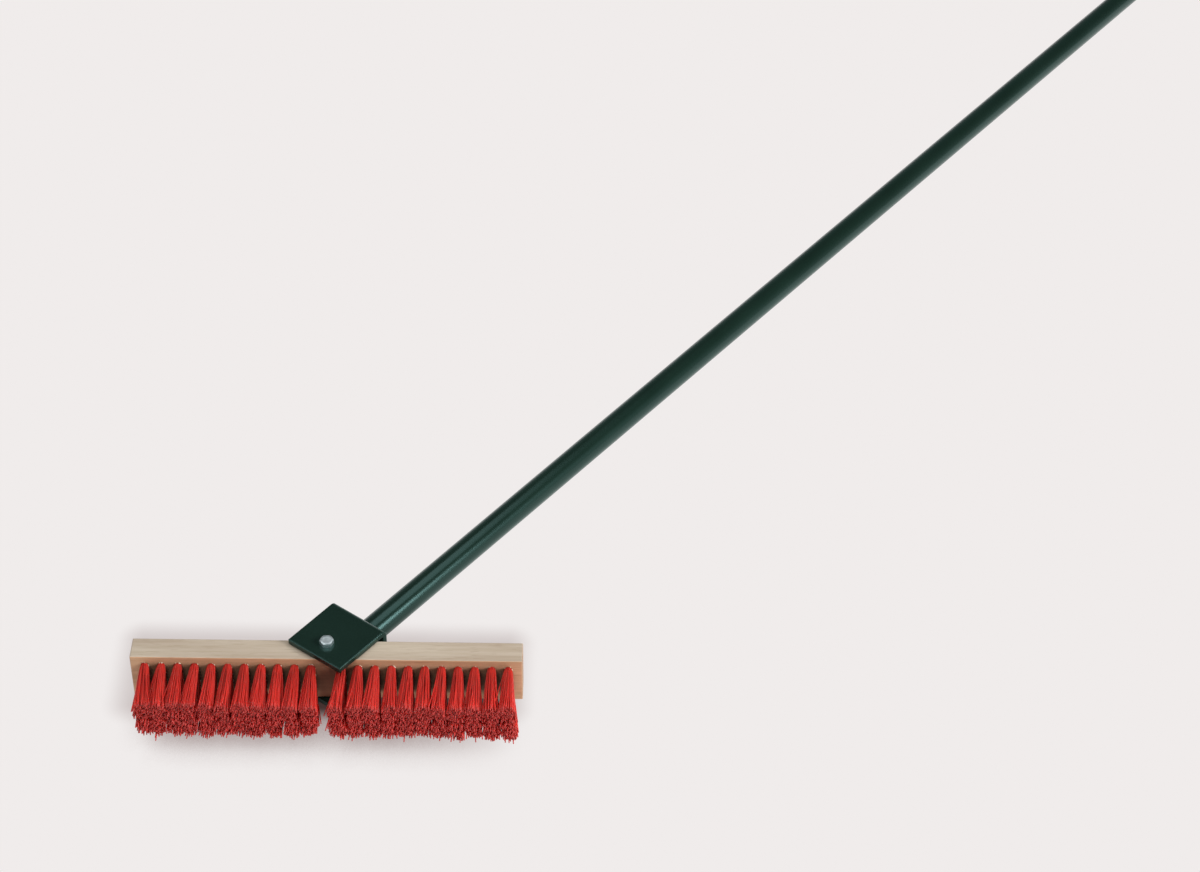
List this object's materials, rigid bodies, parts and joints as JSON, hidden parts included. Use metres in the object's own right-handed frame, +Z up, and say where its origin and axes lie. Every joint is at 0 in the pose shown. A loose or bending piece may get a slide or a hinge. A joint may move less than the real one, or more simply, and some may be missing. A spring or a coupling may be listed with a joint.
{
  "type": "push broom",
  "caption": "Push broom lying on its side: wooden block with stiff bristle tufts, held in a steel fork on a pivot bolt, with a long straight tube handle.",
  "frame": {"origin": "on the floor under the middle of the whole broom, handle included, as it lies on its side", "axes": "+Z up, along the pivot bolt towards its head; +X along the wooden block; -Y the way the tufts point"},
  "size_m": [1.2684, 1.4886, 0.0853],
  "materials": {
    "block_wood": "bare planed beech, fine grain",
    "bristle_plastic": "red extruded PVC filament, satin",
    "anchor_steel": "flat steel strip",
    "green_paint": "dark green gloss enamel",
    "cap_plastic": "black moulded polyethylene",
    "zinc_steel": "bright zinc plate",
    "nylon": "natural nylon"
  },
  "bodies": {
    "head": {"brush_block": "block_wood", "tufts_left_row_1": "bristle_plastic", "tufts_left_row_2": "bristle_plastic", "tufts_left_row_3": "bristle_plastic", "tufts_left_row_4": "bristle_plastic", "tufts_right_row_1": "bristle_plastic", "tufts_right_row_2": "bristle_plastic", "tufts_right_row_3": "bristle_plastic", "tufts_right_row_4": "bristle_plastic", "anchors_left_row_1": "anchor_steel", "anchors_left_row_2": "anchor_steel", "anchors_left_row_3": "anchor_steel", "anchors_left_row_4": "anchor_steel", "anchors_right_row_1": "anchor_steel", "anchors_right_row_2": "anchor_steel", "anchors_right_row_3": "anchor_steel", "anchors_right_row_4": "anchor_steel"},
    "handle": {"fork": "green_paint", "fork_weld": "green_paint", "handle_tube": "green_paint", "handle_cap": "cap_plastic", "pivot_bolt": "zinc_steel", "bolt_washer": "zinc_steel", "lock_nut": "zinc_steel", "nut_insert": "nylon"}
  },
  "joints": [
    {"name": "head_swivel", "type": "hinge", "parent": "head", "child": "handle", "pos_m": [-0.43504, -0.66856, 0.0461], "axis": [0, 0, 1], "range_deg": [-5.5, 79.5]}
  ]
}
